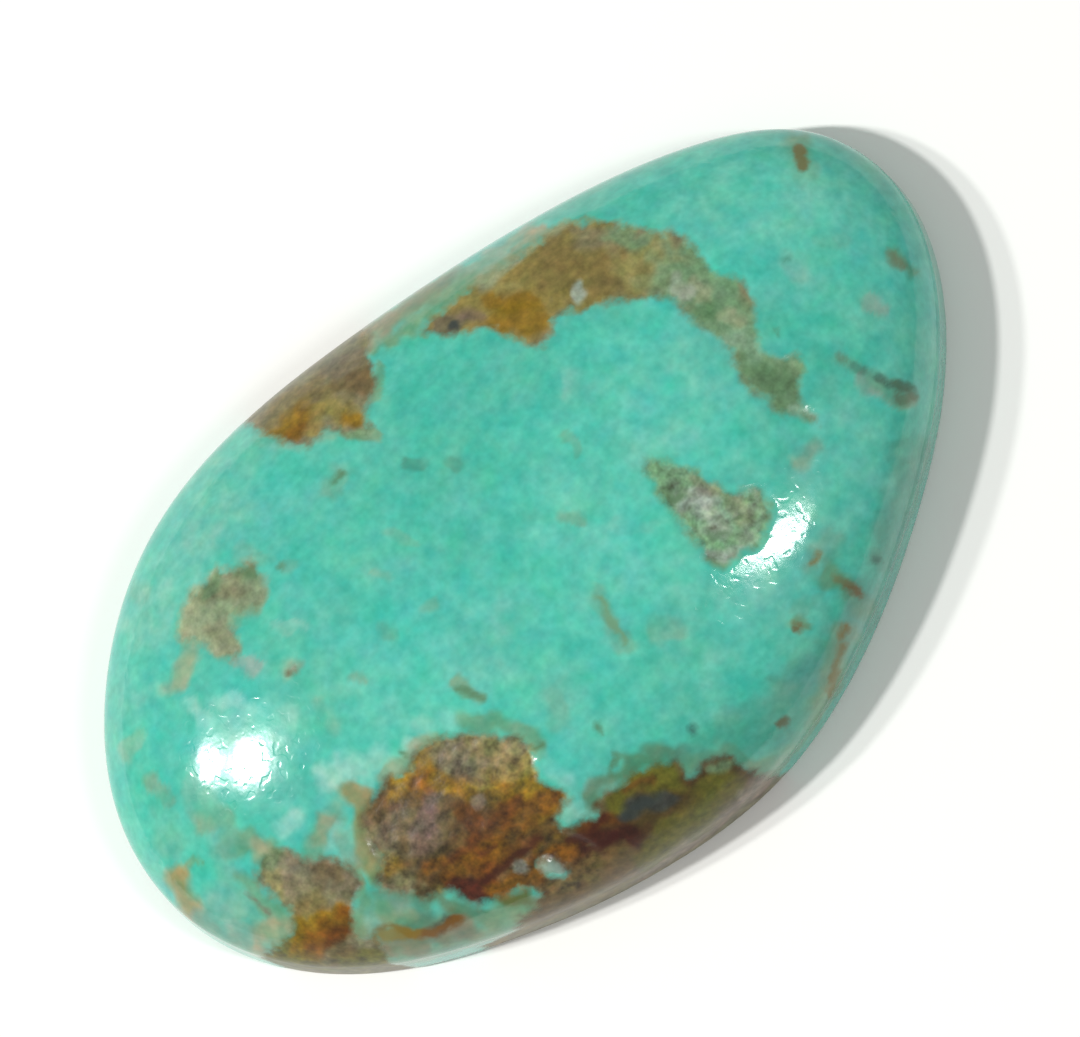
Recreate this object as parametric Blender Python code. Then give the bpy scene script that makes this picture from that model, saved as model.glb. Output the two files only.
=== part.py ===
"""A polished, domed turquoise nugget with brown matrix, resting on its flat ground back.

Units are metres and +Z is up. The long side runs along X, and the middle of the flat back is the
origin. Places on the nugget are given in plan, in millimetres from that origin.
"""
import math

import bmesh
import bpy
import numpy as np

MM = 0.001

# Driving dimensions
LENGTH = 38.0 * MM
WIDTH = 23.5 * MM
HEIGHT = 7.0 * MM
WALL_TOP = 1.9 * MM  # where the dome turns into the steep side wall
WALL_FOOT = 0.4 * MM  # where the wall turns under to the flat back
WALL_LEAN = 0.12 * MM  # how far the top of the wall stands in from its foot
BACK_INSET = 0.45 * MM  # from the foot of the wall in to the edge of the flat back
DOME_POWER = 2.1  # 2 is an ellipse, more is a fuller shoulder
SWELL = 0.05 * MM  # the slow waves that hand polishing leaves

# Facets
AROUND = 96
DOME_RINGS = 34
WALL_RINGS = 3
BEVEL_RINGS = 3
CURVE_STEPS = 80  # points on each span of a closed curve

# The widest ring seen from above, in millimetres
GIRDLE = (
    (19.05, 2.0), (18.2, 5.1), (14.35, 8.05), (7.9, 10.15), (1.6, 11.3), (-4.6, 11.85),
    (-10.2, 11.05), (-15.1, 8.2), (-18.55, 3.35), (-18.9, -0.9), (-16.45, -5.5), (-10.8, -9.1),
    (-4.6, -11.1), (0.8, -11.6), (5.6, -10.5), (11.3, -7.7), (16.15, -3.95),
)

# Matrix patches that the polish left lower than the harder turquoise: an outline in
# millimetres, the depth of its floor, and how rough that floor is
PATCHES = {
    "rim_notch": (
        ((-5.3, 14.0), (-4.7, 10.4), (-3.9, 8.7), (-2.8, 8.7), (-1.8, 7.2), (-1.0, 8.3), (0.3, 9.5),
         (1.6, 9.6), (2.4, 10.3), (2.6, 14.0)),
        0.12 * MM, 0.02 * MM,
    ),
    "arch": (
        ((2.4, 8.9), (4.0, 7.3), (4.9, 5.6), (6.6, 5.8), (9.1, 4.1), (10.0, 2.0), (9.9, -1.6),
         (10.7, -3.5), (11.5, -1.6), (11.4, 0.3), (12.1, 1.8), (11.8, 5.2), (10.4, 7.0), (8.5, 8.8),
         (5.0, 8.9)),
        0.10 * MM, 0.02 * MM,
    ),
    "wedge": (
        ((5.2, -0.1), (6.2, -1.8), (6.5, -3.5), (7.6, -5.0), (6.2, -5.7), (4.7, -4.9), (4.5, -2.8)),
        0.12 * MM, 0.03 * MM,
    ),
    "island": (
        ((-11.7, 6.6), (-10.3, 7.7), (-8.3, 7.1), (-8.5, 5.5), (-10.1, 5.7), (-10.8, 4.2), (-11.4, 5.3)),
        0.10 * MM, 0.02 * MM,
    ),
    "crust": (
        ((-11.2, -3.2), (-10.0, -2.5), (-7.3, -3.0), (-5.3, -4.6), (-5.6, -7.0), (-6.4, -8.0),
         (-8.4, -8.8), (-10.2, -8.3), (-11.3, -6.9), (-12.7, -5.2)),
        0.25 * MM, 0.07 * MM,
    ),
    "rim_band": (
        ((-9.4, -9.5), (-7.0, -9.1), (-6.1, -8.0), (-5.0, -8.6), (-3.2, -8.6), (-1.5, -9.5),
         (0.1, -10.5), (0.8, -11.6), (1.0, -14.0), (-6.0, -14.0), (-11.5, -10.6)),
        0.14 * MM, 0.03 * MM,
    ),
    "left_patch": (
        ((-15.6, -1.9), (-14.3, -1.9), (-12.9, -3.8), (-13.8, -5.0), (-14.8, -5.8), (-16.6, -4.9),
         (-16.7, -3.4)),
        0.14 * MM, 0.04 * MM,
    ),
}
LEDGE = 0.7 * MM  # the slope from the turquoise down to a patch's floor
RIM_SHARE = 0.25  # what is left of a hollow's depth on the side wall
RIM_FROM = 0.85  # the share of the radius where hollows begin to get shallower

# Waves of the swell and of the rough floors: length in millimetres, heading in degrees and
# phase in radians
SWELL_WAVES = ((23.0, 20.0, 0.4), (17.0, 95.0, 2.1), (13.0, 150.0, 4.0))
ROUGH_WAVES = ((2.3, 15.0, 0.0), (1.9, 80.0, 1.3), (2.7, 140.0, 2.6))


def closed_curve(points, steps):
    """A smooth closed curve through the points: the cubic whose slope and bend run on at each one."""
    here = np.array(points, float)
    after = np.roll(here, -1, axis=0)
    span = np.hypot(*(after - here).T)
    before = np.roll(span, 1)
    row = np.arange(len(here))
    weights = np.zeros((len(here), len(here)))
    weights[row, row] = 2 * (span + before)
    weights[row, np.roll(row, -1)] = span
    weights[row, np.roll(row, 1)] = before
    slope = (after - here) / span[:, None]
    bend = np.linalg.solve(weights, 6 * (slope - np.roll(slope, 1, axis=0)))
    t = np.linspace(0, 1, steps, endpoint=False)[None, :, None]
    start, end = bend[:, None], np.roll(bend, -1, axis=0)[:, None]
    bow = ((1 - t) ** 3 - (1 - t)) * start + (t**3 - t) * end
    curve = (1 - t) * here[:, None] + t * after[:, None] + span[:, None, None] ** 2 / 6 * bow
    return curve.reshape(-1, 2)


def spaced(curve, count):
    """The closed curve again, as this many points an equal way apart."""
    loop = np.vstack([curve, curve[:1]])
    along = np.concatenate([[0.0], np.cumsum(np.hypot(*np.diff(loop, axis=0).T))])
    at = np.linspace(0, along[-1], count, endpoint=False)
    return np.stack([np.interp(at, along, loop[:, i]) for i in (0, 1)], axis=1)


def depth_inside(places, curve):
    """How far each place lies inside a closed curve, negative outside it."""
    start, end = curve, np.roll(curve, -1, axis=0)
    side = end - start
    from_start = places[:, None] - start
    share = np.clip((from_start * side).sum(2) / (side**2).sum(1), 0, 1)
    gap = np.hypot(*np.moveaxis(from_start - share[..., None] * side, 2, 0)).min(1)
    above = start[:, 1] > places[:, None, 1]
    crosses = above != (end[:, 1] > places[:, None, 1])
    level = np.where(side[:, 1] == 0, 1.0, side[:, 1])
    reach = from_start[..., 0] < from_start[..., 1] * side[:, 0] / level
    inside = (crosses & reach).sum(1) % 2 == 1
    return np.where(inside, gap, -gap)


def smooth_step(value):
    """0 below 0, 1 above 1, and an even S between."""
    t = np.clip(value, 0, 1)
    return t * t * (3 - 2 * t)


def waves(places, table):
    """The mean of plane sine waves at each place, between -1 and 1."""
    total = 0
    for length, heading, phase in table:
        angle = math.radians(heading)
        across = places[:, 0] * math.cos(angle) + places[:, 1] * math.sin(angle)
        total = total + np.sin(2 * math.pi * across / (length * MM) + phase)
    return total / len(table)


def hollow(places):
    """How far the matrix patches lie in from the polished dome, in metres."""
    total = 0
    for outline, floor, rough in PATCHES.values():
        inside = depth_inside(places, closed_curve(outline, 8) * MM)
        total = total + smooth_step(inside / LEDGE + 0.5) * (floor + rough * waves(places, ROUGH_WAVES))
    return total


def plain_rings():
    """The smooth stone: dome, wall and bevel as an array of ring, point and x, y, z, and how far
    each ring lies past the edge of the dome."""
    rim = spaced(closed_curve(GIRDLE, CURVE_STEPS) * MM, AROUND)
    angle = np.arctan2(rim[:, 1], rim[:, 0])
    oval = 1 / np.hypot(np.cos(angle) / (LENGTH / 2), np.sin(angle) / (WIDTH / 2))
    true = np.hypot(*rim.T)

    fall = np.linspace(0, math.pi / 2, DOME_RINGS + 1)[1:]
    share = np.sin(fall) ** (2 / DOME_POWER)
    dome_z = WALL_TOP + (HEIGHT - WALL_TOP) * np.cos(fall) ** (2 / DOME_POWER)
    dome_r = share[:, None] * (oval + share[:, None] ** 2 * (true - WALL_LEAN - oval))

    down = np.linspace(0, 1, WALL_RINGS + 1)[1:]
    wall_z = WALL_TOP + down * (WALL_FOOT - WALL_TOP)
    wall_r = true - WALL_LEAN * (1 - down[:, None])

    turn = np.linspace(0, math.pi / 3, BEVEL_RINGS + 1)[1:]
    bevel_z = WALL_FOOT * (1 - np.sin(turn) / np.sin(turn[-1]))
    bevel_r = true - BACK_INSET * ((1 - np.cos(turn)) / (1 - np.cos(turn[-1])))[:, None]

    radius = np.vstack([dome_r, wall_r, bevel_r])
    height = np.concatenate([dome_z, wall_z, bevel_z])
    rings = np.stack(
        [radius * np.cos(angle), radius * np.sin(angle), np.repeat(height[:, None], AROUND, 1)], axis=2
    )
    past = np.maximum(WALL_TOP - height, 0)
    return rings, past


def nugget_rings():
    """The rings with their hollows, centred on their own box, and the crown point."""
    plain, past = plain_rings()
    ring_step = np.gradient(plain, axis=0)
    side_step = np.roll(plain, -1, axis=1) - np.roll(plain, 1, axis=1)
    outward = np.cross(ring_step, side_step)
    outward /= np.linalg.norm(outward, axis=2, keepdims=True)

    # Past the dome a place counts on outwards, so that a patch runs down over the wall
    flat = plain[..., :2]
    reach = np.linalg.norm(flat, axis=2)
    places = (flat * (1 + past[:, None] / reach)[..., None]).reshape(-1, 2)
    share = reach / reach.max(0)
    keep = 1 - (1 - RIM_SHARE) * smooth_step((share - RIM_FROM) / (1 - RIM_FROM))
    swell = SWELL * (1 + waves(places, SWELL_WAVES)).reshape(reach.shape) / 2
    depth = swell + keep * hollow(places).reshape(reach.shape)
    depth[-1] = 0  # the edge of the flat back stays in its plane
    rings = plain - depth[..., None] * outward
    middle = (rings[..., :2].max((0, 1)) + rings[..., :2].min((0, 1))) / 2
    rings[..., :2] -= middle
    crown = np.array([*-middle, HEIGHT - SWELL / 2])
    return rings, crown


def stone_material():
    """Polished turquoise, in the colour of its body."""
    colour = (0.084, 0.546, 0.402, 1)
    material = bpy.data.materials.new("polished_turquoise")
    material.use_nodes = True
    shader = material.node_tree.nodes["Principled BSDF"]
    shader.inputs["Base Color"].default_value = colour
    shader.inputs["Roughness"].default_value = 0.2
    shader.inputs["Metallic"].default_value = 0.0
    material.diffuse_color = colour
    return material


def turquoise_nugget():
    """Builds the nugget as one closed solid: a fan at the crown, bands of quads and one flat face."""
    rings, crown = nugget_rings()
    form = bmesh.new()
    top = form.verts.new(crown)
    loops = [[form.verts.new(point) for point in ring] for ring in rings]
    pairs = [(i, (i + 1) % AROUND) for i in range(AROUND)]
    for i, after in pairs:
        form.faces.new((top, loops[0][i], loops[0][after]))
    for upper, lower in zip(loops, loops[1:]):
        for i, after in pairs:
            form.faces.new((upper[i], lower[i], lower[after], upper[after]))
    form.faces.new(loops[-1][::-1])
    bmesh.ops.recalc_face_normals(form, faces=form.faces[:])

    mesh = bpy.data.meshes.new("turquoise_nugget")
    form.to_mesh(mesh)
    form.free()
    mesh.shade_smooth()
    mesh.set_sharp_from_angle(angle=math.radians(35))
    mesh.materials.append(stone_material())
    nugget = bpy.data.objects.new("turquoise_nugget", mesh)
    bpy.context.collection.objects.link(nugget)
    return nugget


for old in list(bpy.data.objects):
    bpy.data.objects.remove(old, do_unlink=True)
turquoise_nugget()
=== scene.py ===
# %% [markdown]
# # A polished turquoise nugget
# The object is one piece of natural turquoise, about 38 mm long. It was ground to a low dome with a
# steep side wall, polished to a glassy shine, and left flat underneath. Brown limonite, the rock that
# the turquoise grew in, runs through it in patches. The solid from model.glb comes first, because the
# finished surface has to fill exactly the same box.

# %% Load the solid
import math

import bpy
import numpy as np
from mathutils import Matrix, Vector


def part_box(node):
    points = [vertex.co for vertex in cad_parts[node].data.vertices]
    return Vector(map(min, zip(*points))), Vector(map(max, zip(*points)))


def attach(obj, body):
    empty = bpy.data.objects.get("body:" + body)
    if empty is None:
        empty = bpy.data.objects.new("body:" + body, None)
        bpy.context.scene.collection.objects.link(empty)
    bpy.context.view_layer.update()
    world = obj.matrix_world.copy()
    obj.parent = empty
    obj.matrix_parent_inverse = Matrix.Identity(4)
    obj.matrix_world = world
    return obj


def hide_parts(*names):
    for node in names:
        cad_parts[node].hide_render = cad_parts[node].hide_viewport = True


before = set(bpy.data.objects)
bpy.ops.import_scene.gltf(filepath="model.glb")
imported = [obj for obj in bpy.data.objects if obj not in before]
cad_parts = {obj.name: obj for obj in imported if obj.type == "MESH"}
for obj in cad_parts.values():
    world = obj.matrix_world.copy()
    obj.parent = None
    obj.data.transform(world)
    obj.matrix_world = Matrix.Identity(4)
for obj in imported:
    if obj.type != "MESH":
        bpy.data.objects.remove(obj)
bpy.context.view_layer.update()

MM = 0.001
NODE = "turquoise_nugget"
low, high = (np.array(corner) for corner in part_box(NODE))
length, width, height = high - low
print(f"the solid measures {length / MM:.2f} x {width / MM:.2f} x {height / MM:.2f} mm")

# %% [markdown]
# ## The outline
# A freeform stone has no rule for its outline: the cutter follows the rough. It could be drawn as a
# Bezier curve, but a cubic spline through a few listed points keeps the shape as plain numbers that
# the rest of the surface can be worked out from. The points are millimetres in plan, on the widest
# ring, and the spline's slope and bend run on through each of them.

# %% A smooth closed curve
GIRDLE = (
    (19.05, 2.0), (18.2, 5.1), (14.35, 8.05), (7.9, 10.15), (1.6, 11.3), (-4.6, 11.85),
    (-10.2, 11.05), (-15.1, 8.2), (-18.55, 3.35), (-18.9, -0.9), (-16.45, -5.5), (-10.8, -9.1),
    (-4.6, -11.1), (0.8, -11.6), (5.6, -10.5), (11.3, -7.7), (16.15, -3.95),
)
GIRDLE_STEPS = 80


def closed_curve(points, steps):
    """A smooth closed curve: on each span a cubic, with the bends at the points solved so that the
    slope runs on from one span to the next."""
    here = np.array(points, float)
    after = np.roll(here, -1, axis=0)
    span = np.hypot(*(after - here).T)
    before = np.roll(span, 1)
    row = np.arange(len(here))
    weights = np.zeros((len(here), len(here)))
    weights[row, row] = 2 * (span + before)
    weights[row, np.roll(row, -1)] = span
    weights[row, np.roll(row, 1)] = before
    slope = (after - here) / span[:, None]
    bend = np.linalg.solve(weights, 6 * (slope - np.roll(slope, 1, axis=0)))
    t = np.linspace(0, 1, steps, endpoint=False)[None, :, None]
    start, end = bend[:, None], np.roll(bend, -1, axis=0)[:, None]
    bow = ((1 - t) ** 3 - (1 - t)) * start + (t**3 - t) * end
    curve = (1 - t) * here[:, None] + t * after[:, None] + span[:, None, None] ** 2 / 6 * bow
    return curve.reshape(-1, 2)


def spaced(curve, count):
    """The same closed curve as this many points an equal way apart, by its length along."""
    loop = np.vstack([curve, curve[:1]])
    along = np.concatenate([[0.0], np.cumsum(np.hypot(*np.diff(loop, axis=0).T))])
    at = np.linspace(0, along[-1], count, endpoint=False)
    return np.stack([np.interp(at, along, loop[:, i]) for i in (0, 1)], axis=1)


girdle = closed_curve(GIRDLE, GIRDLE_STEPS)
print(f"the girdle is {np.hypot(*np.diff(girdle, axis=0).T).sum():.0f} mm round")

# %% [markdown]
# ## The dome, the wall and the flat back
# The cutter grinds the side steep on the wheel, then rocks the top over into a dome, and breaks the
# sharp edge at the back with a small bevel. A sculpted sphere would lose the crisp turn between dome
# and wall, so the surface is a function of two parameters instead: how far round, and how far down
# from the crown. The dome is a superellipse, a little fuller in the shoulder than a true ellipse.

# %% Sizes of the cut
WALL_TOP = 1.9
WALL_FOOT = 0.4
WALL_LEAN = 0.12
BACK_INSET = 0.45
BEVEL_TURN = math.pi / 3
DOME_POWER = 2.1
AROUND = 640
DOME_RINGS = 128
WALL_RINGS = 11
BEVEL_RINGS = 6
BACK_RINGS = 9
PROFILE_STEPS = 2000


def dome_profile(count):
    """Shares of the radius and of the rise for rings an equal way apart down the dome:
    share = sin(a)^(2/n) and rise = cos(a)^(2/n), with a from 0 to a quarter turn."""
    fall = np.linspace(0, math.pi / 2, PROFILE_STEPS)
    share, rise = np.sin(fall) ** (2 / DOME_POWER), np.cos(fall) ** (2 / DOME_POWER)
    mean_radius = (length + width) / 4 / MM
    step = np.hypot(np.diff(share) * mean_radius, np.diff(rise) * (height / MM - WALL_TOP))
    along = np.concatenate([[0.0], np.cumsum(step)])
    at = np.linspace(0, along[-1], count + 1)[1:]
    return np.interp(at, along, share), np.interp(at, along, rise)


def stone_rings():
    """The smooth stone as ring, point and x, y, z in millimetres: the dome's radius goes from an
    oval near the crown to the true outline at the rim, the wall leans out in a straight line to its
    foot, the bevel turns under in an arc, and the back runs in flat."""
    rim = spaced(girdle, AROUND)
    angle = np.arctan2(rim[:, 1], rim[:, 0])
    true = np.hypot(*rim.T)
    oval = 1 / np.hypot(np.cos(angle) * 2 * MM / length, np.sin(angle) * 2 * MM / width)
    share, rise = dome_profile(DOME_RINGS)
    dome_r = share[:, None] * (oval + share[:, None] ** 2 * (true - WALL_LEAN - oval))
    dome_z = WALL_TOP + (height / MM - WALL_TOP) * rise
    down = np.linspace(0, 1, WALL_RINGS + 1)[1:]
    wall_r = true - WALL_LEAN * (1 - down[:, None])
    wall_z = WALL_TOP + down * (WALL_FOOT - WALL_TOP)
    turn = np.linspace(0, BEVEL_TURN, BEVEL_RINGS + 1)[1:]
    bevel_r = true - BACK_INSET * ((1 - np.cos(turn)) / (1 - np.cos(turn[-1])))[:, None]
    bevel_z = WALL_FOOT * (1 - np.sin(turn) / np.sin(turn[-1]))
    inward = np.linspace(1, 0, BACK_RINGS + 1)[1:-1]
    back_r = bevel_r[-1] * inward[:, None]
    radius = np.vstack([dome_r, wall_r, bevel_r, back_r])
    level = np.concatenate([dome_z, wall_z, bevel_z, np.zeros(len(inward))])
    flat = np.stack([radius * np.cos(angle), radius * np.sin(angle)], axis=2)
    rings = np.concatenate([flat, np.repeat(level[:, None], AROUND, 1)[..., None]], axis=2)
    middle = (rim.max(0) + rim.min(0)) / 2
    rings[..., :2] -= middle
    return rings, -middle


smooth_rings, hub = stone_rings()
BACK_FROM = DOME_RINGS + WALL_RINGS + BEVEL_RINGS
print(f"{len(smooth_rings)} rings of {AROUND} points, the last {BACK_RINGS - 1} of them on the back")

# %% [markdown]
# ## Places on the surface
# Every marking is drawn by its place in plan. On the dome that is simply x and y. Past the rim the
# place counts on outwards as the wall goes down, so that a patch which reaches the edge runs over it
# and down the side, as it does on the real stone. The back takes its own x and y again, because the
# matrix runs through the stone from top to bottom.

# %% Places in plan
flat = smooth_rings[..., :2]
reach = np.linalg.norm(flat, axis=2)
past = np.maximum(WALL_TOP - smooth_rings[..., 2], 0)
past[BACK_FROM:] = 0
on_rings = flat * (1 + past / reach)[..., None]
places = np.vstack([on_rings.reshape(-1, 2), hub, hub])
print(f"{len(places)} places, from {places.min(0).round(1)} to {places.max(0).round(1)} mm")

# %% [markdown]
# ## Distances to drawn shapes
# Patches, flecks and veins could be painted on an image, but an image has a fixed sharpness. Here each
# one is a shape in millimetres, and the mesh stores how far every point lies inside or outside it. The
# material then puts the edge where that distance is nought, and can roughen it at any scale.

# %% Distance helpers
def gap_to(spots, path):
    """The distance from each spot to a path: the least gap to any of its straight lengths."""
    path = np.array(path, float)
    if len(path) == 1:
        return np.hypot(*(spots - path[0]).T)
    gap = np.full(len(spots), np.inf)
    for start, end in zip(path, path[1:]):
        side = end - start
        share = np.clip((spots - start) @ side / (side @ side), 0, 1)
        gap = np.minimum(gap, np.hypot(*(spots - start - share[:, None] * side).T))
    return gap


def depth_inside(spots, outline):
    """How deep each spot lies inside an outline, negative outside: the gap to the outline, with its
    sign from how many times a level line to the right crosses it."""
    loop = np.vstack([outline, outline[:1]])
    crossed = np.zeros(len(spots), bool)
    for start, end in zip(loop, loop[1:]):
        spans = (start[1] > spots[:, 1]) != (end[1] > spots[:, 1])
        rise = end[1] - start[1]
        if rise:
            at = start[0] + (spots[:, 1] - start[1]) * (end[0] - start[0]) / rise
            crossed ^= spans & (spots[:, 0] < at)
    return np.where(crossed, 1, -1) * gap_to(spots, loop)


def smooth_step(value):
    """0 below 0, 1 above 1, and an even S between."""
    t = np.clip(value, 0, 1)
    return t * t * (3 - 2 * t)


LATTICE_CELLS = 256
LATTICE_SEED = 38
lattice = np.random.default_rng(LATTICE_SEED).uniform(-1, 1, (LATTICE_CELLS, LATTICE_CELLS))


def noise(spots, size, shift=0.0):
    """Smooth random hills of about this size in millimetres, between -1 and 1: random heights on a
    square lattice, blended with an even S across each cell."""
    at = spots / size + shift
    cell = np.floor(at).astype(int)
    t = smooth_step(at - cell)
    x, y = cell.T % LATTICE_CELLS
    x1, y1 = (x + 1) % LATTICE_CELLS, (y + 1) % LATTICE_CELLS
    near = lattice[x, y] * (1 - t[:, 0]) + lattice[x1, y] * t[:, 0]
    far = lattice[x, y1] * (1 - t[:, 0]) + lattice[x1, y1] * t[:, 0]
    return near * (1 - t[:, 1]) + far * t[:, 1]


PAINT_WAVER = ((1.1, 0.2), (0.5, 0.12), (0.27, 0.07))
EDGE_WAVER = ((0.6, 0.1), (0.3, 0.07))
PUSH_SHIFTS = (11.7, 43.1)


def wavered(spots, sizes):
    """The spots pushed about by smooth noise of each size, by up to its reach in millimetres each
    way, so that a drawn edge wanders as a natural one does."""
    pushes = [
        most * np.stack([noise(spots, size, shift) for shift in PUSH_SHIFTS], axis=1)
        for size, most in sizes
    ]
    return spots + sum(pushes)


edge_places = wavered(places, EDGE_WAVER)
paint_places = wavered(places, PAINT_WAVER)
pushed = np.linalg.norm(paint_places - places, axis=1)
print(f"painted places move by {pushed.mean():.2f} mm on average")

# %% [markdown]
# ## The matrix patches
# Limonite is softer than turquoise, so the polishing wheel takes it down a little further, and its
# floor stays rougher. Each patch is an outline, then how deep its floor lies and how rough it is, both in
# millimetres, and a crumb between 0 and 1, which says how coarse its grain looks. An island is a stroke
# of turquoise left standing inside a patch, given by half its width and its path.

# %% Outlines of the patches, in millimetres
PATCHES = {
    "rim_notch": (
        ((-5.4, 14.0), (-5.1, 11.8), (-4.75, 10.8), (-4.5, 10.0), (-4.3, 9.5), (-4.05, 9.05),
         (-3.7, 8.65), (-3.2, 8.6), (-2.8, 8.6), (-2.45, 8.15), (-2.15, 7.55), (-1.85, 7.15),
         (-1.55, 7.45), (-1.35, 8.0), (-0.95, 8.25), (-0.5, 8.4), (-0.1, 8.85), (0.1, 9.3),
         (0.25, 9.9), (0.6, 10.3), (0.9, 11.0), (0.9, 14.0)),
        0.06, 0.015, 0.35,
    ),
    "arch": (
        ((2.3, 9.0), (2.7, 8.4), (3.1, 7.9), (3.7, 7.6), (4.2, 7.2), (4.5, 6.6), (4.75, 6.0), (4.9, 5.6),
         (5.3, 5.4), (5.8, 5.6), (6.2, 5.75), (6.6, 5.65), (7.0, 5.3), (7.4, 5.15), (8.0, 4.9),
         (8.5, 4.5), (9.0, 4.15), (9.4, 3.8), (9.8, 3.2), (9.85, 2.5), (9.9, 1.5), (10.0, 0.5),
         (9.75, -0.4), (9.6, -1.1), (9.8, -1.9), (9.85, -2.5), (10.2, -3.0), (10.6, -3.6),
         (10.75, -3.3), (10.6, -2.7), (11.0, -2.3), (11.4, -1.9), (11.85, -1.4), (11.3, -1.0),
         (11.0, -0.5), (11.0, 0.1), (11.3, 0.5), (11.7, 0.8), (11.95, 1.4), (12.1, 2.0), (11.9, 2.5),
         (11.7, 3.2), (11.65, 4.0), (11.7, 4.8), (11.5, 5.3), (11.1, 5.7), (10.8, 6.2), (10.3, 6.8),
         (10.0, 7.5), (9.5, 8.0), (9.0, 8.5), (8.5, 8.75), (7.5, 8.75), (6.5, 8.8), (5.5, 8.9),
         (4.5, 9.0), (3.5, 9.1)),
        0.05, 0.012, 0.25,
    ),
    "wedge": (
        ((5.15, -0.5), (5.6, -1.0), (5.95, -1.6), (6.2, -2.2), (6.35, -2.9), (6.6, -3.4), (7.0, -3.7),
         (7.35, -4.2), (7.3, -4.9), (6.7, -5.3), (5.9, -5.5), (5.2, -5.4), (4.5, -5.25), (4.35, -4.5),
         (4.4, -3.6), (4.5, -2.6), (4.65, -1.6), (4.85, -0.9)),
        0.07, 0.03, 0.8,
    ),
    "island": (
        ((-12.0, 6.6), (-11.5, 7.1), (-11.0, 7.55), (-10.4, 7.7), (-10.0, 7.55), (-9.4, 7.75),
         (-9.0, 7.4), (-8.6, 7.0), (-8.2, 7.05), (-8.15, 6.6), (-8.3, 6.0), (-8.5, 5.45), (-8.9, 5.2),
         (-9.3, 5.45), (-9.7, 5.7), (-10.1, 5.7), (-10.3, 5.3), (-10.4, 4.85), (-10.8, 4.5),
         (-11.2, 4.8), (-11.4, 5.3), (-11.4, 5.9), (-11.8, 6.25)),
        0.05, 0.015, 0.3,
    ),
    "crust": (
        ((-11.5, -3.2), (-11.1, -2.9), (-10.6, -2.75), (-10.1, -2.6), (-9.6, -2.7), (-9.2, -2.9),
         (-8.7, -2.85), (-8.3, -2.65), (-7.9, -2.65), (-7.4, -2.85), (-7.0, -3.05), (-6.5, -3.45),
         (-6.05, -3.85), (-5.7, -4.3), (-5.3, -4.75), (-5.0, -5.15), (-5.1, -5.6), (-5.45, -6.05),
         (-5.65, -6.5), (-5.5, -7.0), (-5.2, -7.45), (-5.45, -7.7), (-6.0, -7.75), (-6.3, -8.2),
         (-5.9, -8.9), (-5.9, -9.9), (-7.5, -10.1), (-8.4, -9.4), (-8.7, -8.95), (-9.2, -8.55),
         (-9.8, -8.45), (-10.3, -8.15), (-10.7, -7.6), (-10.95, -7.1), (-11.5, -6.7), (-12.0, -6.2),
         (-12.4, -5.7), (-12.65, -5.1), (-12.2, -4.7), (-11.9, -4.1), (-11.7, -3.6)),
        0.14, 0.045, 1.0,
    ),
    "rim_band": (
        ((-9.6, -9.3), (-9.0, -9.35), (-8.4, -9.2), (-7.6, -8.6), (-6.6, -8.2), (-6.2, -8.15),
         (-5.8, -8.35), (-5.3, -8.6), (-5.0, -8.75), (-4.7, -8.5), (-4.2, -8.35), (-3.7, -8.5),
         (-3.0, -8.6), (-2.4, -8.75), (-1.9, -8.95), (-1.5, -9.25), (-1.55, -9.65), (-1.6, -9.85),
         (-1.1, -9.85), (-0.5, -10.0), (0.0, -10.25), (0.15, -10.7), (0.3, -11.2), (0.7, -11.7),
         (1.2, -14.0), (-6.0, -14.0), (-12.5, -11.5), (-12.5, -9.6), (-11.0, -9.35), (-10.2, -9.45)),
        0.07, 0.02, 0.4,
    ),
    "left_patch": (
        ((-15.75, -1.9), (-15.2, -1.5), (-14.6, -1.6), (-14.2, -1.9), (-14.05, -2.4), (-13.7, -2.8),
         (-13.3, -3.1), (-13.05, -3.7), (-12.85, -4.3), (-13.1, -4.75), (-13.6, -4.85), (-13.95, -5.2),
         (-14.4, -5.6), (-14.4, -6.1), (-13.9, -6.5), (-14.1, -7.0), (-15.5, -8.5), (-19.0, -6.5),
         (-18.6, -4.2), (-17.9, -3.75), (-17.2, -3.85), (-16.6, -4.05), (-16.1, -4.0), (-15.8, -3.6),
         (-15.7, -3.0), (-15.8, -2.4)),
        0.09, 0.025, 0.6,
    ),
}
ISLANDS = ((0.24, ((-7.6, -8.8), (-7.3, -9.15))),)
PATCH_STEPS = 3
CRUMB_FADE = 0.3


def patch_depths(spots):
    """For each patch, how deep every spot lies inside it, with the islands taken out."""
    outside_islands = np.min([gap_to(spots, path) - size for size, path in ISLANDS], axis=0)
    return {
        name: np.minimum(depth_inside(spots, closed_curve(outline, PATCH_STEPS)), outside_islands)
        for name, (outline, floor, rough, crumb) in PATCHES.items()
    }


depths = patch_depths(edge_places)
patch_edge = np.max(list(depths.values()), axis=0)
crumb = np.max([
    PATCHES[name][3] * smooth_step(depth / CRUMB_FADE + 0.5) for name, depth in depths.items()
], axis=0)
print(f"{np.mean(patch_edge[: DOME_RINGS * AROUND] > 0):.0%} of the dome's points are matrix")

# %% [markdown]
# ## Named colours
# The stone's colours are kept on a small palette under plain names, as a painter would. They are the
# colours that the eye sees under the picture's lamps, which are a little brighter than full light and
# add a thin haze of reflection, so the paint itself is worked out darker than its name shows.

# %% The palette
def linear(text):
    """An sRGB hex colour as linear red, green and blue."""
    part = np.array([int(text[i : i + 2], 16) for i in (1, 3, 5)]) / 255
    return np.where(part <= 0.04045, part / 12.92, ((part + 0.055) / 1.055) ** 2.4)


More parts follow.
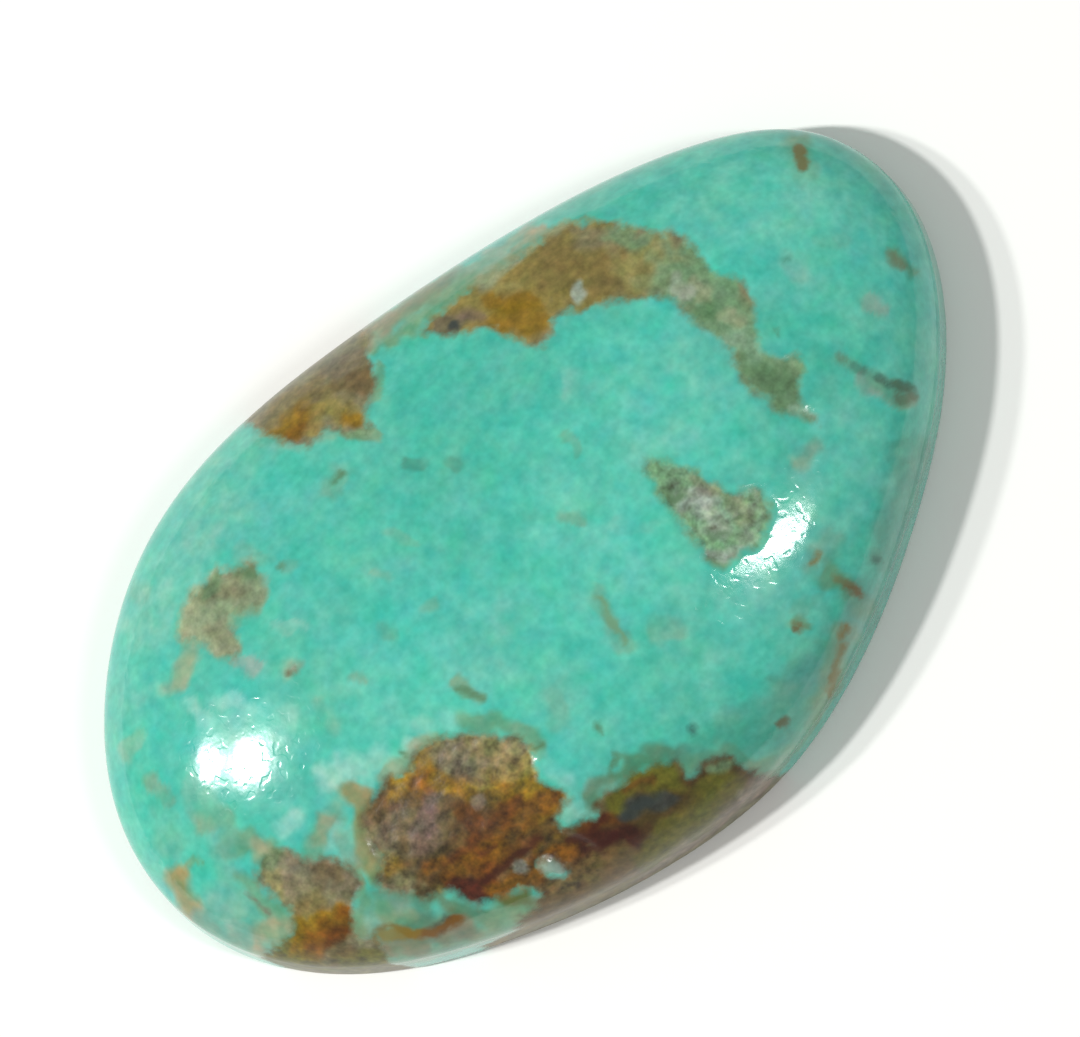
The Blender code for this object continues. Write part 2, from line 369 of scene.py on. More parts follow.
PALETTE = {
    "deep": "#4DB7A2", "turquoise": "#55C0AA", "light": "#69D2BC", "veil": "#7AC6B1", "mint": "#98D6C4",
    "chalk": "#B4D0C0", "stain": "#70B59B", "teal": "#569C86", "dove": "#9BA799",
    "sage": "#87AA8E", "fern": "#769D76", "moss": "#5C7E5A", "lichen": "#96A17E", "straw": "#938E58",
    "khaki": "#807C5E", "olive": "#7F7245", "bronze": "#8F824A", "amber": "#8A6E28", "rust": "#7C561A",
    "chestnut": "#67421C", "umber": "#6D5C3C", "bark": "#58482E", "taupe": "#726B54", "mauve": "#7A665C",
    "maroon": "#482A1E", "slate": "#404846", "clay": "#8E8070", "brass": "#69692F",
}
PICTURE_LIGHT = 1.17
GLOSS_HAZE = 0.015
DARKEST = 0.004


def paint(name):
    """The linear colour of the paint that looks like this palette colour in the picture."""
    return np.maximum((linear(PALETTE[name]) - GLOSS_HAZE) / PICTURE_LIGHT, DARKEST)


print(f"{len(PALETTE)} colours, such as turquoise {paint('turquoise').round(3)}")

# %% [markdown]
# ## Flecks, veins and streaks
# Round the patches the limonite thins out into flecks and hairline veins, and inside them it is
# streaked with maroon and near-black. Each is one touch of a fine brush, with a nearly crisp edge: a
# colour, half its width in millimetres, how strongly it covers, and the points of a short path.

# %% Crisp strokes
FLECKS = (
    ("moss", 0.16, 0.8, (-3.9, 6.85), (-3.55, 6.95)),
    ("moss", 0.12, 0.7, (-7.4, 5.75), (-7.25, 5.75)),
    ("umber", 0.14, 0.9, (-9.75, 2.8), (-9.6, 2.7)),
    ("moss", 0.14, 0.6, (-8.45, 6.7), (-8.4, 6.4)),
    ("moss", 0.08, 0.9, (-8.7, -2.25), (-8.6, -2.5)),
    ("fern", 0.13, 0.8, (0.45, -3.1), (0.3, -3.6), (0.25, -4.2), (0.05, -4.9)),
    ("olive", 0.2, 0.85, (17.1, 4.75), (16.75, 4.1)),
    ("teal", 0.12, 0.8, (13.8, 1.75), (14.0, 1.65)),
    ("khaki", 0.17, 0.6, (16.85, -0.6), (16.9, -1.1)),
    ("umber", 0.12, 0.4, (12.9, -2.3), (12.95, -2.6)),
    ("slate", 0.15, 0.4, (13.0, -2.9), (13.2, -3.2)),
    ("slate", 0.19, 0.55, (13.4, -3.8), (13.55, -4.3)),
    ("bark", 0.2, 0.6, (13.75, -4.4), (13.95, -4.7)),
    ("umber", 0.2, 0.5, (13.45, -4.8), (13.8, -5.0)),
    ("moss", 0.08, 0.6, (11.85, -0.1), (11.7, -0.3)),
    ("amber", 0.13, 0.8, (6.95, -7.3), (7.4, -7.2)),
    ("rust", 0.12, 0.8, (5.0, -8.5), (5.15, -8.6)),
    ("olive", 0.17, 0.6, (7.3, -8.2), (7.5, -8.6)),
    ("rust", 0.2, 0.8, (7.45, -8.6), (7.55, -9.0)),
    ("amber", 0.11, 0.8, (6.0, -9.75), (6.35, -9.6)),
    ("amber", 0.12, 0.7, (4.3, -10.8), (5.1, -10.45), (5.8, -10.05)),
    ("umber", 0.14, 0.8, (2.1, -10.6), (2.4, -10.6)),
    ("slate", 0.1, 0.6, (8.8, -8.5), (8.9, -8.55)),
    ("slate", 0.12, 0.6, (-0.2, -8.75), (-0.35, -8.95)),
    ("moss", 0.11, 0.7, (-2.9, -6.8), (-2.7, -6.45)),
    ("moss", 0.11, 0.8, (-3.0, -7.65), (-3.5, -7.95)),
    ("moss", 0.12, 0.8, (-4.95, -5.55), (-4.7, -5.6)),
    ("moss", 0.12, 0.7, (-5.65, -2.1), (-5.45, -2.4), (-5.15, -2.9)),
    ("bronze", 0.2, 0.8, (-13.7, -6.5), (-13.2, -6.9)),
    ("amber", 0.22, 0.9, (-13.2, -6.8), (-12.7, -7.3)),
    ("rust", 0.2, 0.95, (-12.7, -7.4), (-12.0, -7.65), (-11.4, -7.95)),
    ("maroon", 0.1, 0.8, (-12.1, -7.7), (-11.5, -7.85)),
    ("slate", 0.09, 0.8, (-12.15, -7.45), (-11.6, -7.6)),
    ("olive", 0.12, 0.8, (-14.1, -6.5), (-13.9, -6.2), (-13.3, -6.35), (-13.1, -6.8)),
    ("mauve", 0.08, 0.6, (-16.45, -2.1), (-16.35, -2.9)),
    ("slate", 0.11, 0.7, (-4.4, -9.3), (-3.4, -9.5), (-2.9, -9.8)),
    ("maroon", 0.13, 0.75, (-9.7, -7.75), (-8.3, -7.75), (-7.0, -7.95)),
    ("maroon", 0.13, 0.8, (-6.4, -8.75), (-5.6, -8.95), (-4.8, -9.0)),
    ("maroon", 0.17, 0.8, (-6.1, -9.5), (-5.0, -9.8)),
    ("maroon", 0.1, 0.7, (-9.1, -6.95), (-8.5, -7.05)),
    ("slate", 0.17, 0.9, (3.15, 8.35), (3.3, 8.2)),
    ("moss", 0.14, 0.8, (4.85, -2.15), (5.2, -2.45)),
    ("moss", 0.1, 0.7, (4.85, -4.05), (5.0, -4.35)),
    ("moss", 0.08, 0.7, (5.2, -4.3), (5.5, -4.5)),
    ("moss", 0.08, 0.6, (6.0, -4.2), (6.3, -4.3)),
)
FLECK_BLEND = 0.05


def fleck_fields(spots):
    """How deep each spot lies inside its nearest fleck, half the width less the gap to the path, with
    that fleck's strength and colour, shared between neighbours by how nearly as deep the next one is."""
    depth = np.array([size - gap_to(spots, path) for name, size, strength, *path in FLECKS])
    deepest = depth.max(0)
    share = np.exp((depth - deepest) / FLECK_BLEND)
    share /= share.sum(0)
    strengths = np.array([strength for name, size, strength, *path in FLECKS])
    colours = np.array([paint(name) for name, size, strength, *path in FLECKS])
    return deepest, strengths @ share, share.T @ colours


fleck_edge, fleck_cover, fleck_colour = fleck_fields(edge_places)
print(f"{len(FLECKS)} flecks, veins and streaks")

# %% [markdown]
# ## Washes over the turquoise
# The turquoise is not one blue-green. It is deeper in the middle and lighter to the sides, iron has
# stained it green and straw near the matrix, and chalky veils lie where the mineral is less dense. The
# lighter washes on the right end and the lower right are painted light, lifting the shade that falls
# there away from the left lamps, and the teal washes along the lower rim are painted shade. These have
# no clear edge, so they are soft strokes, laid one over the other like washes of thin paint. The
# numbers are the same as a fleck's.

# %% Soft strokes
WASHES = (
    ("deep", 3.0, 0.3, (-1.0, 4.6), (1.5, 5.0)),
    # painted light: the right end is washed lighter, lifting the shade that falls there away from the
    # left lamps
    ("light", 3.0, 0.5, (13.5, 4.0), (15.0, 1.0)),
    ("light", 2.6, 0.6, (7.8, 1.5), (7.5, -0.5)),
    ("light", 3.4, 0.4, (0.0, -3.0), (-2.0, -5.0), (-6.0, -1.5)),
    ("light", 2.4, 0.4, (3.0, 1.0), (3.6, -3.0)),
    # painted light: the lower right is washed lighter, lifting the shade that falls there
    ("light", 2.4, 0.5, (3.0, -8.5), (11.0, -6.0)),
    ("light", 1.8, 0.5, (11.0, -5.8), (14.4, -3.9), (16.2, -2.0)),
    # pale bloom round the crust
    ("mint", 0.6, 0.65, (-11.1, -1.1), (-10.2, -1.4), (-9.4, -2.0)),
    ("mint", 0.35, 0.6, (-8.8, -2.4), (-8.2, -2.4)),
    ("mint", 0.4, 0.4, (-7.3, -2.4), (-6.6, -2.9)),
    ("mint", 0.5, 0.4, (-12.7, -3.2), (-12.2, -3.4)),
    ("mint", 0.45, 0.4, (-5.1, -6.6), (-4.9, -7.1)),
    ("veil", 0.3, 0.6, (-5.6, -8.0), (-5.0, -8.35)),
    ("mint", 0.3, 0.4, (-4.4, -8.0), (-3.7, -8.2)),
    # green stain round the matrix
    ("straw", 0.35, 0.85, (-11.2, -2.0), (-10.8, -2.5), (-11.2, -3.0)),
    ("straw", 0.4, 0.85, (-11.7, -3.2), (-12.1, -4.0), (-12.4, -4.8)),
    ("fern", 0.45, 0.6, (-12.3, -2.2), (-13.2, -2.4), (-13.8, -2.8)),
    ("lichen", 0.3, 0.8, (-12.5, -2.1), (-13.0, -2.3)),
    ("veil", 0.45, 0.9, (-12.4, -2.9), (-12.6, -3.3)),
    ("sage", 0.3, 0.6, (-12.4, -2.9), (-12.7, -3.9), (-12.9, -4.5)),
    ("lichen", 0.25, 0.7, (-9.8, -2.4), (-9.0, -2.5), (-7.6, -2.7)),
    ("fern", 0.35, 0.75, (-6.2, -3.2), (-5.5, -3.9), (-4.9, -4.8), (-4.8, -5.6)),
    ("fern", 0.25, 0.7, (-5.5, -1.7), (-5.5, -2.3), (-5.1, -3.0)),
    ("moss", 0.28, 0.75, (-12.7, -5.6), (-11.7, -6.7), (-11.2, -7.3), (-10.8, -8.1), (-10.3, -8.8)),
    ("fern", 0.4, 0.8, (-10.4, -8.8), (-9.3, -8.9), (-8.9, -9.3)),
    ("brass", 0.35, 0.9, (-9.3, -8.7), (-8.8, -9.0)),
    ("dove", 0.3, 0.7, (-7.6, -8.8), (-7.3, -9.1)),
    ("teal", 0.5, 0.6, (-13.3, -5.4), (-12.2, -7.0)),
    ("fern", 0.45, 0.8, (-14.4, -7.3), (-13.0, -8.0), (-11.4, -8.8), (-9.8, -9.4)),
    ("moss", 0.45, 0.75, (-14.2, -6.3), (-13.0, -7.0), (-12.2, -7.6), (-11.3, -8.1)),
    ("khaki", 0.3, 0.7, (-13.8, -7.0), (-13.0, -7.5), (-12.2, -7.9), (-11.2, -8.3)),
    ("sage", 0.5, 0.6, (-14.0, -5.7), (-13.3, -5.6), (-12.7, -6.2)),
    ("fern", 0.3, 0.8, (-13.0, -6.0), (-12.6, -6.7)),
    ("fern", 0.3, 0.7, (-13.0, -4.4), (-13.5, -5.2), (-14.3, -5.7)),
    ("moss", 0.4, 0.8, (-4.6, -8.2), (-3.6, -8.1), (-2.8, -8.4), (-1.5, -8.9), (-1.2, -9.7)),
    ("moss", 0.2, 0.6, (-1.0, -9.7), (0.3, -10.1), (0.5, -11.0)),
    ("stain", 0.3, 0.5, (-3.9, -5.5), (-3.0, -4.4)),
    # the left end
    ("moss", 0.4, 0.5, (-16.0, 1.1), (-15.4, 0.6)),
    ("lichen", 0.35, 0.6, (-16.1, 1.2), (-15.9, 0.8)),
    ("fern", 0.45, 0.8, (-15.8, -0.4), (-15.0, -0.8), (-14.8, -1.4)),
    ("lichen", 0.3, 0.7, (-15.0, -1.1), (-14.9, -1.5)),
    ("stain", 0.6, 0.6, (-15.6, 2.0), (-15.8, 0.2), (-16.4, -1.0)),
    ("sage", 0.28, 0.8, (-16.3, 3.5), (-16.2, 2.6)),
    ("stain", 0.5, 0.5, (-16.6, 2.6), (-17.3, 1.4)),
    ("fern", 0.18, 0.7, (-17.2, 0.3), (-16.9, -0.1)),
    ("straw", 0.5, 0.9, (-18.1, 0.3), (-18.4, -0.5), (-18.6, -1.1)),
    ("clay", 0.3, 0.6, (-18.5, -1.2), (-18.4, -1.9)),
    ("stain", 0.9, 0.7, (-17.4, -1.6), (-16.6, -2.6), (-16.5, -3.5)),
    ("teal", 0.7, 0.8, (-18.5, -2.0), (-17.9, -3.4)),
    ("sage", 0.5, 0.6, (-17.9, -2.6), (-17.4, -3.3)),
    ("fern", 0.25, 0.7, (-16.2, -1.4), (-16.2, -2.6), (-16.3, -3.6)),
    ("lichen", 0.3, 0.7, (-18.1, -3.5), (-17.0, -3.6), (-16.4, -3.9)),
    ("stain", 0.35, 0.8, (-16.1, 5.1), (-15.8, 5.0)),
    ("stain", 0.35, 0.9, (-11.95, 9.2), (-11.7, 9.1)),
    ("lichen", 0.4, 0.7, (-13.1, 5.5), (-12.4, 5.8)),
    ("sage", 0.3, 0.7, (-12.5, 5.9), (-11.9, 6.1)),
    ("dove", 0.3, 0.6, (-10.9, 4.5), (-10.7, 3.8)),
    ("sage", 0.3, 0.7, (-9.9, 5.6), (-9.0, 5.5), (-8.4, 5.9)),
    ("stain", 0.3, 0.6, (-8.2, 7.3), (-7.8, 6.6)),
    ("sage", 0.3, 0.8, (-9.8, 2.95), (-9.5, 2.6)),
    # marks in the middle
    ("stain", 0.4, 0.9, (-4.15, 6.85), (-3.5, 6.95)),
    ("stain", 0.25, 0.7, (-7.45, 5.7), (-7.2, 5.75)),
    ("teal", 0.28, 0.8, (-1.5, 5.2), (-1.3, 5.05)),
    ("teal", 0.22, 0.6, (-0.2, 4.3), (-0.05, 4.1)),
    ("stain", 0.2, 0.6, (-3.5, 4.0), (-3.2, 3.0)),
    ("stain", 0.2, 0.6, (-4.9, 3.2), (-4.7, 2.7)),
    ("stain", 0.25, 0.9, (-4.45, 1.0), (-4.2, 0.8)),
    ("stain", 0.25, 0.9, (-6.1, 1.35), (-5.95, 1.0)),
    ("stain", 0.2, 0.9, (-7.9, 0.6), (-7.8, 0.45)),
    ("stain", 0.22, 0.9, (1.65, -0.05), (1.75, -0.5)),
    ("stain", 0.15, 0.8, (3.6, 2.1), (3.5, 1.7), (3.2, 1.3)),
    ("stain", 0.38, 0.8, (0.5, -3.0), (0.25, -3.9), (0.0, -4.9)),
    ("stain", 0.4, 0.7, (1.2, -5.4), (1.7, -5.6)),
    ("stain", 0.25, 0.5, (-9.9, 0.2), (-9.6, 1.1)),
    ("veil", 0.2, 0.7, (-8.9, 4.2), (-8.3, 3.6)),
    ("veil", 0.25, 0.4, (2.7, -1.7), (3.5, -2.5)),
    ("veil", 0.35, 0.6, (4.5, 3.4), (5.1, 3.7)),
    # the right end
    ("veil", 0.35, 0.8, (14.0, 1.4), (13.9, 0.9)),
    ("stain", 0.28, 0.7, (15.2, 1.3), (15.9, 0.9)),
    ("dove", 0.3, 0.5, (14.9, -1.3), (15.2, -1.9)),
    ("fern", 0.5, 0.8, (17.2, 5.0), (16.7, 3.9)),
    ("fern", 0.24, 0.7, (16.9, -0.6), (16.95, -1.5)),
    ("stain", 0.3, 0.8, (12.9, -2.4), (13.1, -3.4)),
    ("sage", 0.4, 0.8, (13.2, -3.7), (13.8, -4.9)),
    ("dove", 0.2, 0.6, (12.8, -3.5), (13.0, -4.2)),
    ("sage", 0.35, 0.7, (9.2, -4.1), (9.7, -4.3)),
    ("stain", 0.3, 0.7, (6.8, -7.3), (8.0, -7.2)),
    ("fern", 0.4, 0.8, (7.0, -7.8), (7.5, -8.4), (7.5, -9.4)),
    ("fern", 0.22, 0.8, (5.0, -8.5), (5.1, -8.6)),
    ("stain", 0.3, 0.5, (5.4, -8.1), (6.4, -8.2)),
    # painted shade: teal darkens the lower rim and the lower right rim, where the dome turns down away
    # from the lamps
    ("teal", 1.0, 0.6, (-1.0, -10.2), (4.0, -10.6), (8.0, -9.7)),
    ("teal", 0.7, 0.7, (9.4, -8.5), (11.0, -7.8), (13.0, -6.6)),
    # painted light: the right end is washed lighter again, against the shade there
    ("light", 1.6, 0.5, (16.2, 1.8), (16.0, 3.4)),
    ("fern", 0.35, 0.6, (3.6, -11.1), (5.4, -10.3), (6.4, -9.6)),
    ("fern", 0.5, 0.6, (0.4, -11.5), (2.4, -11.4), (4.6, -11.2)),
    # the top rim
    ("fern", 0.6, 0.95, (0.7, 10.4), (2.5, 10.2), (4.3, 10.0)),
    ("sage", 0.4, 0.9, (4.3, 9.9), (6.0, 9.6), (7.6, 9.3)),
    ("khaki", 0.4, 0.6, (0.5, 10.6), (1.8, 10.3), (3.0, 10.2), (4.2, 10.1)),
    ("fern", 0.4, 0.8, (1.4, 9.5), (3.0, 9.5), (4.8, 9.3)),
    ("lichen", 0.25, 0.8, (4.6, 9.15), (6.4, 9.0), (8.0, 8.9)),
    ("fern", 0.2, 0.7, (-0.5, 8.3), (-0.2, 8.7), (0.2, 9.2)),
    ("fern", 0.25, 0.8, (-2.3, 7.9), (-1.9, 7.4), (-1.6, 7.2)),
    ("stain", 0.25, 0.7, (-4.7, 10.4), (-4.5, 9.5), (-3.9, 8.8), (-2.9, 8.3)),
    # chalky veils by the left highlight
    ("mint", 0.3, 0.6, (-13.4, 4.5), (-13.2, 3.7)),
    ("mint", 0.3, 0.6, (-12.5, 3.8), (-12.0, 3.3), (-11.8, 2.6)),
    ("mint", 0.3, 0.5, (-13.7, -1.25), (-13.3, -1.3)),
    ("mint", 0.9, 0.4, (-13.2, 2.8), (-11.6, 2.0)),
    ("veil", 1.0, 0.5, (-12.6, 8.0), (-9.0, 9.2), (-5.4, 10.2)),
    ("veil", 1.0, 0.3, (-14.4, 6.6), (-12.6, 7.4)),
)


WASH_REACH = 1.5
WASH_BREAK = 0.45
WASH_BREAK_SIZE = 0.45
PATTERN_SHIFT = 7.3


def washed(spots, ground, strokes):
    """The ground colour with soft strokes laid over it in turn. Each covers by its strength times an
    even S, from whole at half of its size from the path to nothing at one and a half times its size,
    and smooth noise moves that edge in and out."""
    colour = np.tile(paint(ground), (len(spots), 1))
    broken = WASH_REACH + WASH_BREAK * noise(spots, WASH_BREAK_SIZE, PATTERN_SHIFT)
    for name, size, strength, *path in strokes:
        cover = strength * smooth_step(broken - gap_to(spots, path) / size)
        colour += cover[:, None] * (paint(name) - colour)
    return colour


body_colour = washed(paint_places, "turquoise", WASHES)
print(f"{len(WASHES)} washes over the turquoise")

# %% [markdown]
# ## The colours of the matrix
# Limonite is not one colour either: where it is dense it is maroon and rust, where it is thin over
# turquoise it turns ochre, olive and moss green, and weathered crust is grey brown. A colour ramp cannot
# say where each of these lies, so the patches are painted in the same way, broad strokes first.

# %% Strokes on the matrix
ROCK_STROKES = (
    # the crust
    ("umber", 4.0, 1.0, (-11.0, -4.4), (-8.0, -5.6)),
    ("taupe", 0.9, 0.5, (-11.0, -4.0), (-9.8, -4.6)),
    ("chestnut", 0.3, 0.5, (-10.3, -3.4), (-9.6, -4.1)),
    ("mauve", 0.4, 0.7, (-10.6, -5.0), (-9.6, -4.6), (-8.9, -4.0)),
    ("bark", 0.35, 0.6, (-10.8, -3.1), (-10.0, -3.0)),
    ("straw", 0.4, 0.8, (-12.4, -4.4), (-11.9, -4.8)),
    ("amber", 0.45, 0.9, (-9.7, -3.2), (-8.9, -3.2), (-8.0, -3.3)),
    ("rust", 0.4, 0.95, (-9.4, -3.7), (-8.5, -3.6)),
    ("amber", 0.4, 0.95, (-8.5, -3.9), (-8.1, -4.6), (-7.9, -5.4)),
    ("khaki", 0.9, 0.8, (-7.2, -3.6), (-6.2, -4.4), (-5.3, -5.3)),
    ("olive", 0.3, 0.6, (-6.7, -3.8), (-6.0, -4.9), (-5.9, -5.6)),
    ("straw", 0.3, 0.4, (-6.4, -3.9), (-5.6, -4.9)),
    ("taupe", 0.4, 0.6, (-7.4, -3.7), (-7.0, -4.8)),
    ("bronze", 0.55, 0.9, (-7.2, -5.5), (-6.2, -5.6), (-5.6, -5.9)),
    ("amber", 0.55, 0.95, (-7.0, -5.9), (-6.4, -6.5), (-6.0, -6.9)),
    ("bark", 0.8, 0.9, (-12.4, -5.5), (-11.4, -6.2), (-10.9, -6.7)),
    ("bark", 0.6, 0.7, (-9.8, -6.0), (-8.0, -5.8), (-7.6, -6.5)),
    ("chestnut", 0.35, 0.8, (-8.7, -5.2), (-8.5, -5.9)),
    ("clay", 0.18, 0.6, (-8.1, -5.5), (-7.8, -5.6)),
    ("amber", 0.25, 0.8, (-12.0, -5.0), (-11.5, -5.0)),
    ("rust", 0.25, 0.8, (-10.8, -6.0), (-10.2, -6.1)),
    ("chestnut", 0.5, 0.9, (-9.6, -6.6), (-8.4, -6.8), (-7.3, -6.6)),
    ("rust", 0.45, 0.95, (-10.2, -7.1), (-8.0, -7.3), (-5.8, -7.3)),
    ("amber", 0.25, 0.8, (-6.6, -7.6), (-5.2, -7.6)),
    ("maroon", 0.5, 0.9, (-10.3, -7.5), (-9.7, -8.0)),
    ("chestnut", 0.35, 0.8, (-9.2, -7.6), (-6.9, -7.9)),
    ("olive", 0.2, 0.9, (-11.0, -7.0), (-10.9, -7.6)),
    ("rust", 0.5, 0.95, (-9.2, -8.4), (-8.2, -8.6), (-7.2, -8.3), (-6.4, -8.3)),
    ("dove", 0.2, 0.9, (-8.35, -8.1), (-8.15, -8.2)),
    ("amber", 0.3, 0.7, (-7.4, -8.2), (-6.6, -8.3)),
    # the band along the rim
    ("bark", 1.7, 1.0, (-6.8, -9.2), (-5.2, -9.7), (-3.0, -9.9), (-0.5, -10.8)),
    ("rust", 0.4, 0.9, (-8.1, -9.0), (-7.0, -8.9), (-6.5, -9.1)),
    ("maroon", 0.5, 0.9, (-6.1, -9.4), (-5.0, -9.9), (-4.5, -9.9)),
    ("chestnut", 0.3, 0.8, (-5.6, -8.9), (-4.4, -9.0)),
    ("brass", 0.42, 0.95, (-4.0, -8.75), (-3.0, -8.9), (-1.9, -9.4)),
    ("chestnut", 0.15, 0.6, (-3.6, -8.9), (-2.6, -9.2)),
    ("slate", 0.22, 0.8, (-4.2, -9.3), (-3.3, -9.55), (-2.6, -9.85)),
    ("fern", 0.25, 0.6, (-0.6, -10.2), (-0.2, -10.5)),
    ("brass", 0.4, 0.7, (-4.2, -10.7), (-2.4, -10.7), (-0.6, -10.8)),
    ("umber", 0.5, 0.9, (-9.0, -9.2), (-7.4, -9.7), (-5.6, -10.4)),
    ("brass", 0.35, 0.8, (-5.0, -11.0), (-2.4, -11.2), (-0.4, -11.1)),
    ("umber", 0.35, 0.9, (-9.6, -9.7), (-7.6, -10.3), (-5.6, -10.9)),
    ("olive", 0.4, 0.8, (-12.5, -9.4), (-10.4, -9.9), (-8.0, -10.7), (-6.0, -11.3)),
    ("clay", 0.4, 0.8, (-6.0, -11.7), (-3.0, -11.9), (0.5, -11.9)),
    # the patch near the left end
    ("khaki", 2.4, 1.0, (-14.9, -2.8), (-14.6, -5.0)),
    ("taupe", 0.55, 0.9, (-14.3, -2.7), (-13.7, -3.4), (-13.4, -4.2)),
    ("umber", 0.25, 0.6, (-14.0, -3.3), (-13.5, -3.9)),
    ("straw", 0.3, 0.6, (-15.6, -2.8), (-15.5, -2.2)),
    ("moss", 0.3, 0.6, (-15.3, -1.6), (-14.7, -1.7)),
    ("olive", 0.4, 0.8, (-15.8, -3.9), (-14.6, -4.1)),
    ("brass", 0.45, 0.95, (-18.0, -4.2), (-16.4, -4.3)),
    ("amber", 0.4, 0.95, (-16.5, -4.5), (-15.2, -4.5), (-14.2, -4.8)),
    ("rust", 0.45, 0.95, (-15.9, -5.0), (-15.0, -5.1), (-14.2, -5.1)),
    ("chestnut", 0.3, 0.9, (-15.3, -5.3), (-14.8, -5.5)),
    ("brass", 0.5, 0.9, (-17.4, -5.0), (-16.0, -5.9), (-14.6, -6.9)),
    ("umber", 0.3, 0.7, (-15.9, -5.7), (-15.0, -6.1)),
    # the notch at the top rim
    ("khaki", 3.0, 1.0, (-3.4, 10.5), (-0.4, 10.2)),
    ("olive", 0.7, 0.8, (-4.4, 10.9), (-3.0, 10.9), (-1.8, 10.8)),
    ("amber", 0.45, 0.95, (-4.2, 9.9), (-3.2, 9.8), (-2.8, 9.7)),
    ("rust", 0.3, 0.6, (-3.9, 9.6), (-3.2, 9.4)),
    ("bronze", 0.4, 0.8, (-3.2, 9.1), (-2.6, 9.4), (-2.0, 9.2)),
    ("olive", 0.35, 0.7, (-2.4, 10.0), (-1.6, 9.7)),
    ("bronze", 0.4, 0.8, (-2.1, 8.8), (-1.6, 8.4)),
    ("amber", 0.3, 0.9, (-1.9, 8.5), (-1.6, 8.1)),
    ("fern", 0.35, 0.8, (-2.1, 7.6), (-1.8, 7.3)),
    ("umber", 0.6, 0.8, (-1.0, 9.6), (-0.5, 9.1), (0.0, 9.4)),
    ("taupe", 0.5, 0.8, (-1.0, 10.5), (0.4, 10.4)),
    ("khaki", 0.6, 0.9, (-4.8, 11.6), (-2.0, 11.6), (1.0, 11.2)),
    # the arch
    ("bronze", 3.0, 1.0, (4.0, 8.4), (7.5, 7.5)),
    ("taupe", 0.45, 0.9, (2.8, 8.5), (3.6, 8.3)),
    ("mauve", 0.3, 0.6, (3.9, 8.3), (4.2, 8.0)),
    ("amber", 0.6, 0.8, (4.8, 7.2), (5.2, 6.4), (5.5, 6.0)),
    ("amber", 0.3, 0.8, (5.0, 8.1), (5.3, 7.3), (6.0, 7.0)),
    ("straw", 0.25, 0.7, (5.6, 8.2), (6.1, 7.6)),
    ("lichen", 0.35, 0.8, (5.2, 8.9), (7.4, 8.75), (8.8, 8.6)),
    ("olive", 1.0, 0.8, (7.6, 7.4), (8.2, 6.4), (8.6, 5.6)),
    ("khaki", 0.5, 0.8, (9.0, 7.4), (9.6, 6.8)),
    ("fern", 0.4, 0.7, (9.9, 6.9), (10.5, 5.6)),
    ("dove", 0.2, 0.9, (7.45, 6.0), (7.5, 5.7)),
    ("straw", 0.7, 0.9, (9.6, 5.1), (10.4, 4.8), (10.8, 4.4)),
    ("fern", 1.3, 0.9, (10.8, 3.4), (10.8, 1.0), (10.5, -2.5)),
    ("sage", 0.4, 0.6, (10.6, 0.5), (10.6, -0.3)),
    ("lichen", 0.3, 0.8, (10.3, 3.4), (11.2, 3.0), (10.6, 2.7)),
    ("moss", 0.3, 0.8, (10.1, 2.3), (10.5, 1.8)),
    ("lichen", 0.25, 0.7, (10.9, 1.4), (11.1, 1.0)),
    ("fern", 0.4, 0.8, (11.5, 3.2), (11.6, 2.0)),
    ("moss", 0.5, 0.65, (10.3, -0.8), (10.6, -1.5), (10.4, -2.2)),
    ("sage", 0.25, 0.8, (10.3, -2.8), (10.6, -3.4)),
    ("dove", 0.3, 0.6, (10.3, 3.7), (10.4, 3.2)),
    # the wedge and the island
    ("fern", 2.4, 1.0, (5.3, -1.0), (5.6, -5.0)),
    ("dove", 0.45, 0.8, (5.2, -2.6), (5.7, -3.2), (5.5, -3.8)),
    ("dove", 0.3, 0.6, (4.6, -5.0), (5.2, -5.2)),
    ("khaki", 0.3, 0.5, (5.9, -2.4), (6.4, -3.6), (6.3, -4.4)),
    ("moss", 0.25, 0.7, (4.7, -2.2), (5.3, -2.4)),
    ("lichen", 2.0, 1.0, (-11.0, 6.5), (-10.0, 6.3)),
    ("moss", 0.8, 0.4, (-10.4, 5.8), (-9.8, 6.4), (-8.8, 6.0)),
    ("khaki", 0.4, 0.6, (-9.9, 6.9), (-9.2, 6.3)),
    ("khaki", 0.4, 0.5, (-10.7, 5.8), (-10.9, 5.0)),
    ("moss", 0.25, 0.7, (-9.9, 7.0), (-9.4, 7.2)),
    ("moss", 0.35, 0.7, (-8.6, 7.0), (-8.4, 6.4)),
)
rock_colour = washed(paint_places, "khaki", ROCK_STROKES)
print(f"{len(ROCK_STROKES)} strokes on the matrix")

# %% [markdown]
# ## The relief
# Seen from the side the stone is not a perfect dome: hand polishing leaves slow waves, the patches lie
# low, and the crust is pitted. All of that is real height here, moved straight in along the surface's
# own normal. Only grain too fine for the mesh is left to the material's bump. Hollows get shallower
# toward the rim, so the outline stays as clean as the real one, and the back stays flat.

# %% Relief in millimetres
SWELL = 0.05
SWELL_WAVES = ((23.0, 20.0, 0.4), (17.0, 95.0, 2.1), (13.0, 150.0, 4.0))
LEDGE = 0.45
RIM_SHARE = 0.25
RIM_FROM = 0.85
GRAIN_SIZES = ((0.9, 0.5), (0.45, 0.35), (0.25, 0.2))
ROUGH_GAIN = 1.5
FLECK_DEPTH = 0.012
FLECK_LEDGE = 0.25


def waves(spots, table):
    """The mean of plane sine waves at each spot, from their length, heading and phase."""
    total = 0
    for size, heading, phase in table:
        turn = math.radians(heading)
        across = spots[:, 0] * math.cos(turn) + spots[:, 1] * math.sin(turn)
        total = total + np.sin(2 * math.pi * across / size + phase)
    return total / len(table)


